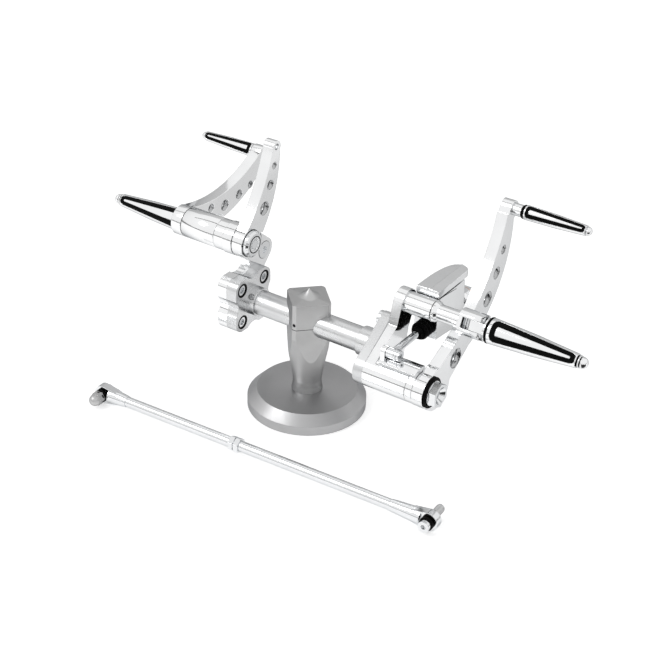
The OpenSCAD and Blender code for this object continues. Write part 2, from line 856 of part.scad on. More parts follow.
module brake_bracket() {
  knee = plate_boss + [2, -4];
  color("gainsboro") difference() {
    union() {
      plate(right_bracket_x, brake_bracket_t) union() {
        web(brake_c, brake_hub_r, plate_boss - [0, 2], plate_boss_r);
        web(brake_c, brake_hub_r, bar_c, collar_r);
        web(bar_c, collar_r, knee, 12);
        web(knee, 12, right_peg_c, peg_boss_r);
        polygon([brake_c, bar_c, knee]);
      }
      round_x(right_bracket_x + 1, brake_bearing_x, brake_hub_r, brake_c);
    }
    round_x(right_bracket_x + 2, brake_bearing_x + 1, brake_shaft_r + bush_t, brake_c);
    round_x(right_bracket_x - 1, right_face_x + 1, peg_bolt_r + slack, right_peg_c);
    round_x(right_bracket_x - 1, right_bracket_x + gap + peg_head_h, peg_head_r + slack, right_peg_c);
    for (c = bracket_spots) round_x(right_bracket_x - 1, right_face_x - 2, bolt_r, c);
  }
}

// Two sunk screws and, on the plate's own boss, a screw whose head stands on the face
module bracket_bolts() {
  color("silver") {
    for (k = [1, 2]) translate([0, bracket_spots[k][0], bracket_spots[k][1]])
      screw_x(right_x + 0.6, 1, brake_plate_t + brake_bracket_t - 6 - 3, bolt_r - run, socket_r, 5.4, socket_key);
    translate([0, plate_boss[0], plate_boss[1]])
      screw_x(right_x - 4, 1, brake_plate_t + brake_bracket_t - 3, bolt_r - run, 7.4, 4, socket_key);
  }
}

module brake_bushes() {
  color("goldenrod") {
    bush_x(right_bracket_x + 2, right_bracket_x + 2 + bush_l, brake_shaft_r, brake_c);
    bush_x(brake_bearing_x, brake_bearing_x - bush_l, brake_shaft_r, brake_c);
  }
}

module brake_shaft() {
  color("lightgray") difference() {
    round_x(right_bracket_x + 2.4, brake_end_x, brake_shaft_r, brake_c);
    round_x(brake_end_x - 18, brake_end_x + 1, bolt_r, brake_c);
  }
}

// The wedge of the brake arm, seen along the shaft
module arm_wedge(r) {
  spread = 26;
  intersection() {
    disc(brake_c, r);
    polygon([brake_c, brake_c + 60 * spot(1, 90 + pin_lean - spread), brake_c + 60 * spot(1, 90 + pin_lean + spread)]);
  }
}

module brake_arm() {
  color("gainsboro") difference() {
    union() {
      round_x(brake_arm_x, brake_arm_x + brake_arm_t, brake_hub_r, brake_c);
      plate(brake_arm_x, brake_arm_t) arm_wedge(arm_out_r);
      plate(lug_x, brake_arm_x + 1 - lug_x) difference() {
        arm_wedge(arm_out_r);
        disc(brake_c, arm_in_r);
      }
      plate(lug_x, lug_t) difference() {
        web(brake_c + (arm_in_r + 3) * unit(pin_c - brake_c), lug_r, pin_c, lug_r - 1);
        disc(brake_c, arm_in_r);
      }
    }
    round_x(brake_arm_x - 1, brake_arm_x + brake_arm_t + 1, brake_shaft_r, brake_c);
    round_x(lug_x - 1, lug_x + lug_t + 1, pin_r, pin_c);
  }
}

module push_rod_pin() {
  head_x = rod_x + push_eye_t / 2 + 0.5;
  color("lightgray") difference() {
    union() {
      round_x(lug_x, head_x + 1, pin_r, pin_c);
      round_x(head_x, head_x + 2, push_eye_r + 0.6, pin_c);
      round_x(head_x + 1, head_x + 5, push_eye_r, pin_c);
    }
    hex_x(head_x + 2.5, head_x + 6, 4, pin_c);
  }
}

module brake_lever() {
  front = [38, 107] - [0, 96.3] + bar_c;
  rear = [7, 119] - [0, 96.3] + bar_c;
  holes = [[44.2, 14.4, 10.2], [99.5, 52.4, 8], [113.5, 74.4, 6.4], [123.5, 95.4, 4.8]];
  color("gainsboro") difference() {
    plate(brake_lever_x, brake_blade_t) union() {
      disc(brake_c, brake_hub_r + 0.3);
      disc(heel_c, heel_r);
      polygon([heel_c, heel_c + [20.5, -1.5], front + [2, 1.3], rear + [2.7, 0.9], heel_c + spot(heel_r - 1, 94)]);
      blade(front, brake_toe_c + [0.5, -9], 21, rear, brake_toe_c + [-12.5, -1], 14);
      web(brake_toe_c + [-4.5, -6], 7, brake_toe_c, toe_boss_r);
    }
    round_x(brake_lever_x - 1, brake_end_x + 1, brake_shaft_r, brake_c);
    round_x(brake_lever_x - 1, brake_end_x + 1, toe_bolt_r, brake_toe_c);
    for (hole = holes)
      round_x(brake_lever_x - 1, brake_end_x + 1, hole[2], brake_c + [hole[0], hole[1]]);
  }
}

module brake_oring() {
  color("black") translate([0, brake_c[0], brake_c[1]]) oring_x(brake_end_x + 1.4, 13.9, 1.4);
}

module brake_cap() {
  color("silver") difference() {
    union() {
      round_x(brake_end_x, brake_end_x + 3.4, 12.2, brake_c);
      hex_x(brake_end_x + 3, brake_end_x + 11, 21.5, brake_c);
      round_x(brake_end_x - 16, brake_end_x + 1, bolt_r - run, brake_c);
    }
    translate([brake_end_x + 7, brake_c[0], brake_c[1]]) rotate([0, 90, 0]) cylinder(h = 5, r1 = 4.5, r2 = 9.5);
  }
}

// A turned piece along Y on the master cylinder's centre line
module along_bore(y) {
  translate([rod_x, y, pin_c[1]]) rotate([-90, 0, 0]) children();
}

module push_rod() {
  tip_y = cylinder_y + 8;
  color("gray") difference() {
    union() {
      round_x(rod_x - push_eye_t / 2, rod_x + push_eye_t / 2, push_eye_r, pin_c);
      along_bore(pin_c[0]) cylinder(h = tip_y - pin_c[0], r = push_rod_r);
    }
    round_x(rod_x - push_eye_t, rod_x + push_eye_t, pin_r + pin_play, pin_c);
  }
}

module piston() {
  color("silver") along_bore(cylinder_y + 8) difference() {
    cylinder(h = 22, r = bore_r - run);
    translate([0, 0, 6]) difference() {
      cylinder(h = 4, r = bore_r + 1);
      cylinder(h = 4, r = bore_r - 2);
    }
  }
}

// Bellows between the cylinder and the push rod
module rod_boot() {
  ridges = 3;
  pitch = 5;
  color("black") along_bore(cylinder_y - ridges * pitch - 2) rotate_extrude() difference() {
    polygon(concat([[0, 0], [6.4, 0], [6.4, 2]],
                   [for (k = [0 : ridges - 1]) for (p = [[7.8, 0], [9, 0.5]]) [p[0], 2 + (k + p[1]) * pitch]],
                   [[7, 2 + ridges * pitch], [0, 2 + ridges * pitch]]));
    translate([0, -1]) square([push_rod_r + 0.1, ridges * pitch + 4]);
  }
}

module master_cylinder() {
  low = cylinder_low_z;
  top = cylinder_top_z;
  side_x = right_face_x + cylinder_w;
  tank_l = 50;
  wall = 3;
  color("gainsboro") difference() {
    union() {
      plate(right_face_x, cylinder_w) polygon([[cylinder_y, low + 3], [cylinder_y + 31, low],
        [cylinder_y + 52, low + 14], [cylinder_y + tank_l, top], [cylinder_y, top]]);
      along_bore(cylinder_y + 30) cylinder(h = cylinder_l - 30, r = bore_r + 2.5);
      along_bore(cylinder_y + cylinder_l - 6) cylinder(h = 6, r = bore_r + 4);
    }
    along_bore(cylinder_y - 1) cylinder(h = cylinder_l - 11, r = bore_r);
    along_bore(cylinder_y + 30) cylinder(h = cylinder_l, r = 4);
    translate([right_face_x + wall, cylinder_y + wall, pin_c[1] + bore_r + wall])
      cube([cylinder_w - 2 * wall, tank_l - 3 * wall, 60]);
    translate([rod_x, cylinder_y + 36, pin_c[1]]) cylinder(h = bore_r + 2 * wall, r = 1.2);
  }
}

// The reservoir's plan, inset by d: square at the back and round at the front
module cover_plan(d) {
  half = cylinder_w / 2;
  translate([right_face_x + half, cylinder_y]) union() {
    translate([-half + d, d]) square([2 * (half - d), 38.2 - d]);
    translate([0, 38]) intersection() {
      circle(half - d);
      translate([-half, -1]) square([2 * half, half + 1 - d]);
    }
  }
}

module cover_gasket() {
  color("black") translate([0, 0, cylinder_top_z]) linear_extrude(gasket_t) cover_plan(0.8);
}

module reservoir_cover() {
  z = cylinder_top_z + gasket_t;
  color("gainsboro") difference() {
    translate([0, 0, z]) linear_extrude(cover_t) cover_plan(0);
    cover_screw_spots() rotate([-90, 0, 0]) translate([0, 0, -1]) cylinder(h = 13, r = 1);
    cover_screw_spots() rotate([-90, 0, 0]) translate([0, 0, -1]) cylinder(h = 2.4, r = 1.7);
  }
}

module cover_screw_spots() {
  for (up = [-2.1, 2.1])
    translate([right_face_x + cylinder_w / 2, cylinder_y, cylinder_top_z + gasket_t + cover_t / 2 + up])
      children();
}

module cover_screws() {
  color("dimgray") cover_screw_spots() rotate([90, 0, 0]) translate([0, 0, -0.2])
    socket_screw(1 - run, 9, 1.6, 1.2, 0.7);
}

module fluid_union() {
  color("silver") along_bore(cylinder_end_y) difference() {
    union() {
      translate([0, 0, -7]) cylinder(h = 10, r = 4 - run);
      translate([0, 0, 1.2]) cylinder(h = 9, r = 8.4);
      translate([0, 0, 11.4]) cylinder(h = 5, r = 8, $fn = 6);
      translate([0, 0, 3]) cylinder(h = 9, r = 4 - run);
    }
    translate([0, 0, -8]) cylinder(h = 20, r = 1.5);
  }
}

module union_washers() {
  color("peru") along_bore(cylinder_end_y) for (z = [0, 10.2]) translate([0, 0, z]) difference() {
    cylinder(h = 1.2, r = 8);
    translate([0, 0, -1]) cylinder(h = 4, r = 4 - run);
  }
}

// Shift rod, drawn along X around its middle

module on_rod() {
  translate([rod_mid[0], rod_mid[1], rod_z]) rotate(rod_turn) children();
}

module at_eye(side) {
  on_rod() translate([side * rod_pitch / 2, 0, 0]) children();
}

module link_tube() {
  xa = seam_left - rod_pitch / 2;
  xb = rod_pitch / 2 - seam_right;
  color("lightgray") on_rod() difference() {
    round_x(xa, xb, rod_r, [0, 0]);
    round_x(xa - 1, xa + 16, neck_pin_r, [0, 0]);
    round_x(xb - 16, xb + 1, neck_pin_r, [0, 0]);
  }
}

module link_ends() {
  color("silver") for (side = [-1, 1]) at_eye(side) mirror([side > 0 ? 1 : 0, 0, 0]) difference() {
    seam = side < 0 ? seam_left : seam_right;
    union() {
      rotate([90, 0, 0]) linear_extrude(eye_t, center = true) web([0, 0], eye_r, [14, 0], 7.2);
      translate([8, 0, 0]) rotate([0, 90, 0]) cylinder(h = seam - 8, r1 = 8, r2 = rod_r + 0.5);
      round_x(seam - 2, seam + 14, neck_pin_r, [0, 0]);
    }
    rotate([90, 0, 0]) sphere(ball_r + run);
  }
}

module link_nuts() {
  color("silver") on_rod() for (k = [0, 1]) difference() {
    hex_x(mid_nut_x + 6 * k, mid_nut_x + 6 * k + 5, 13, [0, 0]);
    round_x(mid_nut_x - 1, mid_nut_x + 12, rod_r, [0, 0]);
  }
}

module stud_turn() {
  rotate([90, 0, 0]) children();
}

module link_stud_left() {
  color("silver") at_eye(-1) stud_turn() {
    sphere(ball_r);
    translate([0, 0, -seal_y]) cylinder(h = 2 * seal_y + seal_t, r = neck_pin_r);
    translate([0, 0, seal_y + seal_t]) cylinder(h = 11, r = stud_r);
    translate([0, 0, -seal_y - 4]) cylinder(h = 4, r = 5);
  }
}

module link_stud_right() {
  color("silver") at_eye(1) mirror([0, 1, 0]) stud_turn() {
    sphere(ball_r);
    translate([0, 0, -seal_y - seal_t]) cylinder(h = 2 * seal_y + seal_t, r = neck_pin_r);
    translate([0, 0, seal_y]) cylinder(h = 16, r = stud_r);
    translate([0, 0, -seal_y - seal_t - 5]) difference() {
      cylinder(h = 5, r = 5.6);
      translate([0, 0, -1]) cylinder(h = 4, r = 2.6, $fn = 6);
    }
  }
}

module link_acorn_nut() {
  color("silver") at_eye(-1) stud_turn() translate([0, 0, seal_y + seal_t]) difference() {
    union() {
      cylinder(h = 7, r = 7, $fn = 6);
      cylinder(h = 8, r = 5.8);
      translate([0, 0, 8]) sphere(5.8);
    }
    translate([0, 0, -10]) cylinder(h = 21, r = stud_r);
  }
}

module seal_ring() {
  difference() {
    cylinder(h = seal_t, r = seal_r);
    translate([0, 0, -1]) cylinder(h = seal_t + 2, r = neck_pin_r);
  }
}

module link_seal_left() {
  color("black") at_eye(-1) stud_turn() translate([0, 0, seal_y]) seal_ring();
}

module link_seal_right() {
  color("black") at_eye(1) stud_turn() translate([0, 0, seal_y]) seal_ring();
}

base_disc();
base_stud();
stand_post();
clamp_cap();
clamp_studs();
clamp_grub_screws();
cross_bar();
bar_flange();
bar_collar();
collar_bolt();
flange_bolts();
shift_bracket();
shift_bushes();
shift_shaft();
shift_arm();
shift_arm_cap();
shift_lever();
shift_toe_peg();
shift_toe_rubbers();
left_peg_bolt();
left_peg_post();
left_peg_pin();
left_peg();
left_peg_inlays();
left_peg_ring();
right_peg_bolt();
right_peg_post();
right_peg_pin();
right_peg();
right_peg_inlays();
right_peg_ring();
brake_plate();
brake_bracket();
bracket_bolts();
brake_bushes();
brake_shaft();
brake_arm();
brake_lever();
brake_oring();
brake_cap();
brake_toe_peg();
brake_toe_rubbers();
push_rod();
push_rod_pin();
rod_boot();
piston();
master_cylinder();
reservoir_cover();
cover_gasket();
cover_screws();
fluid_union();
union_washers();
link_tube();
link_ends();
link_nuts();
link_stud_left();
link_stud_right();
link_acorn_nut();
link_seal_left();
link_seal_right();
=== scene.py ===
"""Looks of the motorcycle forward controls: finishes, turned details and a white studio stage."""

import json
import math

import bpy
import numpy as np
from bpy.props import FloatProperty, FloatVectorProperty, IntProperty, PointerProperty
from mathutils import Matrix, Vector


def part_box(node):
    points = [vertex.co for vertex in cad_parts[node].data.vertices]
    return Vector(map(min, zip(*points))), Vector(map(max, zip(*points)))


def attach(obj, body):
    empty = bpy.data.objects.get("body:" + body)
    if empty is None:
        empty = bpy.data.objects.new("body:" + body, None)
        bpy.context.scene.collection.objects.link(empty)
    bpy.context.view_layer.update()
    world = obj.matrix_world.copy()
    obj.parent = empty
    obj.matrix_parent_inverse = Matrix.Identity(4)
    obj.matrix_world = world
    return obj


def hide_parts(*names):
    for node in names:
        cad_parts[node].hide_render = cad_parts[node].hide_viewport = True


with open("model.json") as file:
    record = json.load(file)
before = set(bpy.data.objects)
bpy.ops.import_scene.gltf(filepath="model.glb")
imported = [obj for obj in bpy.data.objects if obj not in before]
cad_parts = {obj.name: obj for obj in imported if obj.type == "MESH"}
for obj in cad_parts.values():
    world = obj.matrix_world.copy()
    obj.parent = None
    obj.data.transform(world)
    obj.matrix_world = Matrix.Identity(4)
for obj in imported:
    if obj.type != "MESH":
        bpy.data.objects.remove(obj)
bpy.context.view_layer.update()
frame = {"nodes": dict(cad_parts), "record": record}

bl_info = {
    "name": "Forward controls",
    "version": (1, 0, 0),
    "blender": (4, 5, 0),
    "location": "View3D > Sidebar > Controls",
    "description": "Finishes, turned details and a studio stage for a set of forward controls",
    "category": "Object",
}

# Places in mm, as in the part's source; a point of two numbers is [y, z]

MM = 0.001
BAR_Z = 96.3
LINK_TURN = math.radians(2.6)
LINK_LINE = np.array([math.cos(LINK_TURN), math.sin(LINK_TURN), 0])
LINK_MIDDLE = np.array([20.6, -110.4, 9.5])
LINK_HALF = 185.0
SHIFT_C = np.array([-5.0, BAR_Z + 65.7])
SHIFT_TOE = SHIFT_C + [125, 29.3]
BRAKE_C = (-30.5, BAR_Z - 6.7)
RIGHT_PEG = (17.5, BAR_Z + 47.5)
LEFT_PEG = (34.4, BAR_Z + 37.9)
BLADE_X = (-154.4, -142.4)
ARM_X = (-78.6, -66.6)
BRAKE_X = (146.3, 157.8)
HUB_R = 15.5
HUB_BORE = 7.05
HUB_LENGTH = 41
TOE_R = 8
PEG_RELIEF = 19.6
FLANGE_BOLT_OUT = 18.0
CAP_HALF = 19.0
CAP_FLAT = 4.6
COVER_X = 114.25
COVER_HALF = 12.25
COVER_LENGTH = 60.8
THREAD_LENGTH = 12.0

# Lightening holes: forward and up from the pivot, and radius

LEVER_HOLES = ((101.5, 2.8, 4), (82, -1.2, 5.2), (57.6, -4.3, 6), (35, 1.6, 4.4))
ARM_HOLES = ((38.7, 68.6, 3.8), (32.3, 50.5, 5.2), (22.6, 28.6, 7.2))
BRAKE_HOLES = ((44.2, 14.4, 10.2), (99.5, 52.4, 8), (113.5, 74.4, 6.4), (123.5, 95.4, 4.8))

# Nodes whose finish is not that of their material slot

LOOK_OF = {"base_disc": "turned_steel", "link_acorn_nut": "satin_steel"}

# Stage, in metres: floor cards as name, x from and to, y from and to, height and shade

FLOOR_CARDS = (
    ("side card", -0.06, 0.22, 0.16, 0.80, 0.002, 0.74),
    ("right side card", 0.22, 1.0, 0.16, 0.80, 0.002, 0.93),
    ("edge card", 0.27, 1.3, -1.1, 0.02, 0.003, 0.04),
    ("far strip", -1.6, -0.02, 0.30, 0.62, 0.004, 0.14),
    ("front strip", 0.12, 0.5, -0.72, -0.40, 0.005, 0.05),
)
HORIZON = 5
HORIZON_TOP = 0.55
KEY_SIZE = 0.8
KEY_PLACE = (-1.0, -1.35, 1.85)
KEY_AIM = (0, 0, 0.1)
CAMERA_AIM = (-0.0702, 0.1357, 0)
CAMERA_AWAY = 1.5 / 0.91
CAMERA_AZIMUTH = 33.48
CAMERA_ELEVATION = 30.9
CAMERA_ROLL = 1.6


class StageSettings(bpy.types.PropertyGroup):
    """Sizes and levels of the studio"""

    floor_colour: FloatVectorProperty(
        name="Floor", description="Colour of the floor", subtype="COLOR", size=4,
        default=(0.92, 0.92, 0.92, 1.0), min=0, max=1)
    lift: FloatProperty(
        name="Lift", description="The floor's own light as the camera sees it", default=0.5, min=0)
    fill: FloatProperty(name="Fill", description="Level of the light from all round", default=0.62, min=0)
    key: FloatProperty(
        name="Key", description="Power of the large lamp above", subtype="POWER", default=9.0, min=0)
    lens: FloatProperty(
        name="Lens", description="Focal length of the camera", default=83.08, min=10, unit="CAMERA")


class FinishSettings(bpy.types.PropertyGroup):
    """Colours and roughness of the finishes"""

    polish: FloatProperty(
        name="Polish", description="Roughness of the polished aluminium", default=0.09, min=0, max=1)
    satin: FloatProperty(name="Satin", description="Roughness of the stand", default=0.36, min=0, max=1)
    edge: FloatProperty(name="Edge", description="Radius of the broken edges", subtype="DISTANCE",
                        default=0.0008, min=0, max=0.002, precision=5)
    alloy: FloatVectorProperty(name="Alloy", description="Colour of the polished aluminium", subtype="COLOR",
                               size=4, default=(0.90, 0.905, 0.91, 1.0), min=0, max=1)
    rubber: FloatVectorProperty(name="Rubber", description="Colour of the rubber", subtype="COLOR",
                                size=4, default=(0.0015, 0.0015, 0.0015, 1.0), min=0, max=1)


class DetailSettings(bpy.types.PropertyGroup):
    """Sizes of the turned details"""

    thread_pitch: FloatProperty(name="Thread pitch", description="Pitch of the threads on the rod's studs",
                                subtype="DISTANCE", default=0.00125, min=0.0005, precision=5)
    thread_turns: IntProperty(
        name="Steps per turn", description="Grid steps around a thread", default=32, min=12)


# Mesh helpers


def put_mesh(name, verts, faces, material, smooth=True):
    """Make an object at the origin from vertex and face arrays, faces as quads or triangles"""
    mesh = bpy.data.meshes.new(name)
    mesh.from_pydata(np.asarray(verts).tolist(), [], np.asarray(faces).tolist())
    mesh.polygons.foreach_set("use_smooth", np.full(len(mesh.polygons), smooth))
    mesh.update()
    piece = bpy.data.objects.new(name, mesh)
    bpy.context.scene.collection.objects.link(piece)
    mesh.materials.append(material)
    return piece


def grid_faces(rows, cols):
    """Quads between the rows and columns of a grid whose columns close on themselves"""
    r = np.arange(rows - 1)[:, None]
    c = np.arange(cols)[None, :]
    n = (c + 1) % cols
    quads = np.stack([r * cols + c, r * cols + n, (r + 1) * cols + n, (r + 1) * cols + c], -1)
    return quads.reshape(-1, 4)


def turned(profile, around, axis_from, axis_dir):
    """Surface of revolution: a profile of [radius, height] in mm is turned about a line.

    Point = foot + height * direction + radius * (cos t * u + sin t * v), with u and v square to the line.
    Returns vertices in metres and quads; rows at radius 0 close the ends.
    """
    prof = np.asarray(profile, float)
    w = np.asarray(axis_dir, float)
    w = w / np.linalg.norm(w)
    u = np.cross(w, [0.0, 0.0, 1.0] if abs(w[2]) < 0.9 else [1.0, 0.0, 0.0])
    u = u / np.linalg.norm(u)
    v = np.cross(w, u)
    t = np.linspace(0, 2 * np.pi, around, endpoint=False)
    ring = np.cos(t)[:, None] * u + np.sin(t)[:, None] * v
    pts = np.asarray(axis_from, float) + prof[:, 1][:, None, None] * w + prof[:, 0][:, None, None] * ring
    return pts.reshape(-1, 3) * MM, grid_faces(len(prof), around)


def arc(a, b, sag, steps=40):
    """Points of the arc from a to b in the plane whose middle stands sag to the left of the chord"""
    a, b = np.asarray(a, float), np.asarray(b, float)
    chord = b - a
    length = np.hypot(*chord)
    left = np.array([-chord[1], chord[0]]) / length
    radius = (length ** 2 / 4 + sag ** 2) / (2 * sag)
    centre = (a + b) / 2 + left * (sag - radius)
    half = math.asin(length / 2 / radius)
    first = np.arctan2(*(a - centre)[::-1])
    turn = np.linspace(first, first - 2 * half, steps)
    return centre + abs(radius) * np.stack([np.cos(turn), np.sin(turn)], -1)


def round_arc(c, r, start, end, steps=24):
    """Points of a circle of radius r about c from one angle to another, in degrees"""
    t = np.radians(np.linspace(start, end, steps))
    return np.asarray(c, float) + r * np.stack([np.cos(t), np.sin(t)], -1)


def sheet_with_holes(name, outline, holes, x0, x1, bevel, material):
    """Plate between two planes across X, from an outline and round holes given as [forward, up] in mm.

    A flat curve is filled, given its thickness and a small round on each edge, and turned so that its
    drawing plane is the YZ plane: (u, v, w) goes to (x, y, z) = (w, u, v).
    """
    curve = bpy.data.curves.new(name, "CURVE")
    curve.dimensions = "2D"
    curve.fill_mode = "BOTH"
    curve.extrude = (abs(x1 - x0) / 2 - bevel) * MM
    curve.bevel_depth = bevel * MM
    curve.bevel_resolution = 3
    curve.offset = -bevel * MM
    loops = [np.asarray(outline)] + [round_arc(c, r, 360, 0, 49)[:-1] for c, r in holes]
    for loop in loops:
        count = len(loop)
        spline = curve.splines.new("POLY")
        spline.points.add(count - 1)
        spline.points.foreach_set("co", np.column_stack([loop * MM, np.zeros(count), np.ones(count)]).ravel())
        spline.use_cyclic_u = True
    shape = bpy.data.objects.new(name + " curve", curve)
    bpy.context.scene.collection.objects.link(shape)
    mesh = bpy.data.meshes.new_from_object(shape.evaluated_get(bpy.context.evaluated_depsgraph_get()))
    bpy.data.objects.remove(shape)
    mesh.transform(Matrix(((0, 0, 1, (x0 + x1) / 2 * MM), (1, 0, 0, 0), (0, 1, 0, 0), (0, 0, 0, 1))))
    mesh.materials.clear()
    mesh.materials.append(material)
    mesh.name = name
    piece = bpy.data.objects.new(name, mesh)
    bpy.context.scene.collection.objects.link(piece)
    return piece


# Finishes


def new_group(name, inputs, outputs):
    """Empty shader node group with float inputs as (name, default) and outputs as (name, socket type)"""
    group = bpy.data.node_groups.new(name, "ShaderNodeTree")
    for label, value in inputs:
        socket = group.interface.new_socket(label, in_out="INPUT", socket_type="NodeSocketFloat")
        socket.default_value = value
    for label, kind in outputs:
        group.interface.new_socket(label, in_out="OUTPUT", socket_type=kind)
    return group, group.nodes.new("NodeGroupInput"), group.nodes.new("NodeGroupOutput")


def handling_group():
    """Faint cloudiness and hairline scratches of a handled metal part.

    Two noises of very different stretch are mixed: clouds of Cloud Scale and hairlines of Line Scale.
    """
    group, gin, gout = new_group(
        "handling", [("Cloud Scale", 40.0), ("Line Scale", 900.0), ("Low", 0.05), ("High", 0.15)],
        [("Roughness", "NodeSocketFloat"), ("Height", "NodeSocketFloat")])
    nodes, link = group.nodes, group.links.new
    coord = nodes.new("ShaderNodeTexCoord")
    stretch = nodes.new("ShaderNodeMapping")
    stretch.inputs["Scale"].default_value = (0.06, 1.0, 1.0)
    clouds = nodes.new("ShaderNodeTexNoise")
    clouds.inputs["Detail"].default_value = 4.0
    lines = nodes.new("ShaderNodeTexNoise")
    lines.inputs["Detail"].default_value = 2.0
    spread = nodes.new("ShaderNodeMapRange")
    spread.inputs["From Min"].default_value = 0.35
    spread.inputs["From Max"].default_value = 0.7
    link(coord.outputs["Object"], clouds.inputs["Vector"])
    link(coord.outputs["Object"], stretch.inputs["Vector"])
    link(stretch.outputs["Vector"], lines.inputs["Vector"])
    link(gin.outputs["Cloud Scale"], clouds.inputs["Scale"])
    link(gin.outputs["Line Scale"], lines.inputs["Scale"])
    link(clouds.outputs["Fac"], spread.inputs["Value"])
    link(gin.outputs["Low"], spread.inputs["To Min"])
    link(gin.outputs["High"], spread.inputs["To Max"])
    link(spread.outputs["Result"], gout.inputs["Roughness"])
    link(lines.outputs["Fac"], gout.inputs["Height"])
    return group


def pebble_group():
    """Fine moulded grain of rubber: a small cell pattern over soft clouds of tone"""
    group, gin, gout = new_group(
        "pebble", [("Scale", 1400.0)], [("Height", "NodeSocketFloat"), ("Tone", "NodeSocketFloat")])
    nodes, link = group.nodes, group.links.new
    coord = nodes.new("ShaderNodeTexCoord")
    cells = nodes.new("ShaderNodeTexVoronoi")
    clouds = nodes.new("ShaderNodeTexNoise")
    clouds.inputs["Scale"].default_value = 90.0
    link(coord.outputs["Object"], cells.inputs["Vector"])
    link(coord.outputs["Object"], clouds.inputs["Vector"])
    link(gin.outputs["Scale"], cells.inputs["Scale"])
    link(cells.outputs["Distance"], gout.inputs["Height"])
    link(clouds.outputs["Fac"], gout.inputs["Tone"])
    return group


def metal(name, group, colour, low, high, edge, bump, line=900.0):
    """Metal with broken edges, clouds in its roughness and colour, and hairlines in its normal"""
    material = bpy.data.materials.new(name)
    material.use_nodes = True
    nodes, link = material.node_tree.nodes, material.node_tree.links.new
    shader = nodes["Principled BSDF"]
    shader.inputs["Metallic"].default_value = 1.0
    shader.inputs["Specular Tint"].default_value = (0.42, 0.43, 0.44, 1.0)
    wear = nodes.new("ShaderNodeGroup")
    wear.node_tree = group
    wear.inputs["Line Scale"].default_value = line
    wear.inputs["Low"].default_value = low
    wear.inputs["High"].default_value = high
    rounded = nodes.new("ShaderNodeBevel")
    rounded.samples = 4
    rounded.inputs["Radius"].default_value = edge
    relief = nodes.new("ShaderNodeBump")
    relief.inputs["Strength"].default_value = bump
    relief.inputs["Distance"].default_value = 0.0001
    tone = nodes.new("ShaderNodeValToRGB")
    dark = [c * 0.94 for c in colour[:3]] + [1.0]
    tone.color_ramp.elements[0].position = low
    tone.color_ramp.elements[0].color = colour
    tone.color_ramp.elements[1].position = max(high, low + 0.01)
    tone.color_ramp.elements[1].color = dark
    link(wear.outputs["Roughness"], shader.inputs["Roughness"])
    link(wear.outputs["Roughness"], tone.inputs["Fac"])
    link(tone.outputs["Color"], shader.inputs["Base Color"])
    link(wear.outputs["Height"], relief.inputs["Height"])
    link(rounded.outputs["Normal"], relief.inputs["Normal"])
    link(relief.outputs["Normal"], shader.inputs["Normal"])
    return material


def lathed(material, pull, rings):
    """Give a metal the marks of a lathe about the vertical: fine rings and a highlight across them"""
    nodes, link = material.node_tree.nodes, material.node_tree.links.new
    shader = nodes["Principled BSDF"]
    shader.inputs["Anisotropic"].default_value = pull
    around = nodes.new("ShaderNodeTangent")
    around.direction_type = "RADIAL"
    around.axis = "Z"
    link(around.outputs["Tangent"], shader.inputs["Tangent"])
    coord = nodes.new("ShaderNodeTexCoord")
    turning = nodes.new("ShaderNodeTexWave")
    turning.wave_type = "RINGS"
    turning.rings_direction = "Z"
    turning.inputs["Scale"].default_value = rings
    turning.inputs["Distortion"].default_value = 1.5
    turning.inputs["Detail"].default_value = 3.0
    relief = nodes.new("ShaderNodeBump")
    relief.inputs["Strength"].default_value = 0.06
    relief.inputs["Distance"].default_value = 0.0001
    link(coord.outputs["Object"], turning.inputs["Vector"])
    link(turning.outputs["Fac"], relief.inputs["Height"])
    link(shader.inputs["Normal"].links[0].from_socket, relief.inputs["Normal"])
    link(relief.outputs["Normal"], shader.inputs["Normal"])
    return material


def rubber(name, group, colour, roughness):
    """Black rubber with a fine pebbled skin and a slightly dusty tone in its clouds"""
    material = bpy.data.materials.new(name)
    material.use_nodes = True
    nodes, link = material.node_tree.nodes, material.node_tree.links.new
    shader = nodes["Principled BSDF"]
    shader.inputs["Roughness"].default_value = roughness
    shader.inputs["Specular IOR Level"].default_value = 0.05
    skin = nodes.new("ShaderNodeGroup")
    skin.node_tree = group
    relief = nodes.new("ShaderNodeBump")
    relief.inputs["Strength"].default_value = 0.25
    relief.inputs["Distance"].default_value = 0.0001
    tone = nodes.new("ShaderNodeValToRGB")
    tone.color_ramp.elements[0].position = 0.3
    tone.color_ramp.elements[0].color = colour
    tone.color_ramp.elements[1].position = 0.8
    tone.color_ramp.elements[1].color = [c * 2 + 0.001 for c in colour[:3]] + [1.0]
    link(skin.outputs["Tone"], tone.inputs["Fac"])
    link(tone.outputs["Color"], shader.inputs["Base Color"])
    link(skin.outputs["Height"], relief.inputs["Height"])
    link(relief.outputs["Normal"], shader.inputs["Normal"])
    return material


FINISH = {}


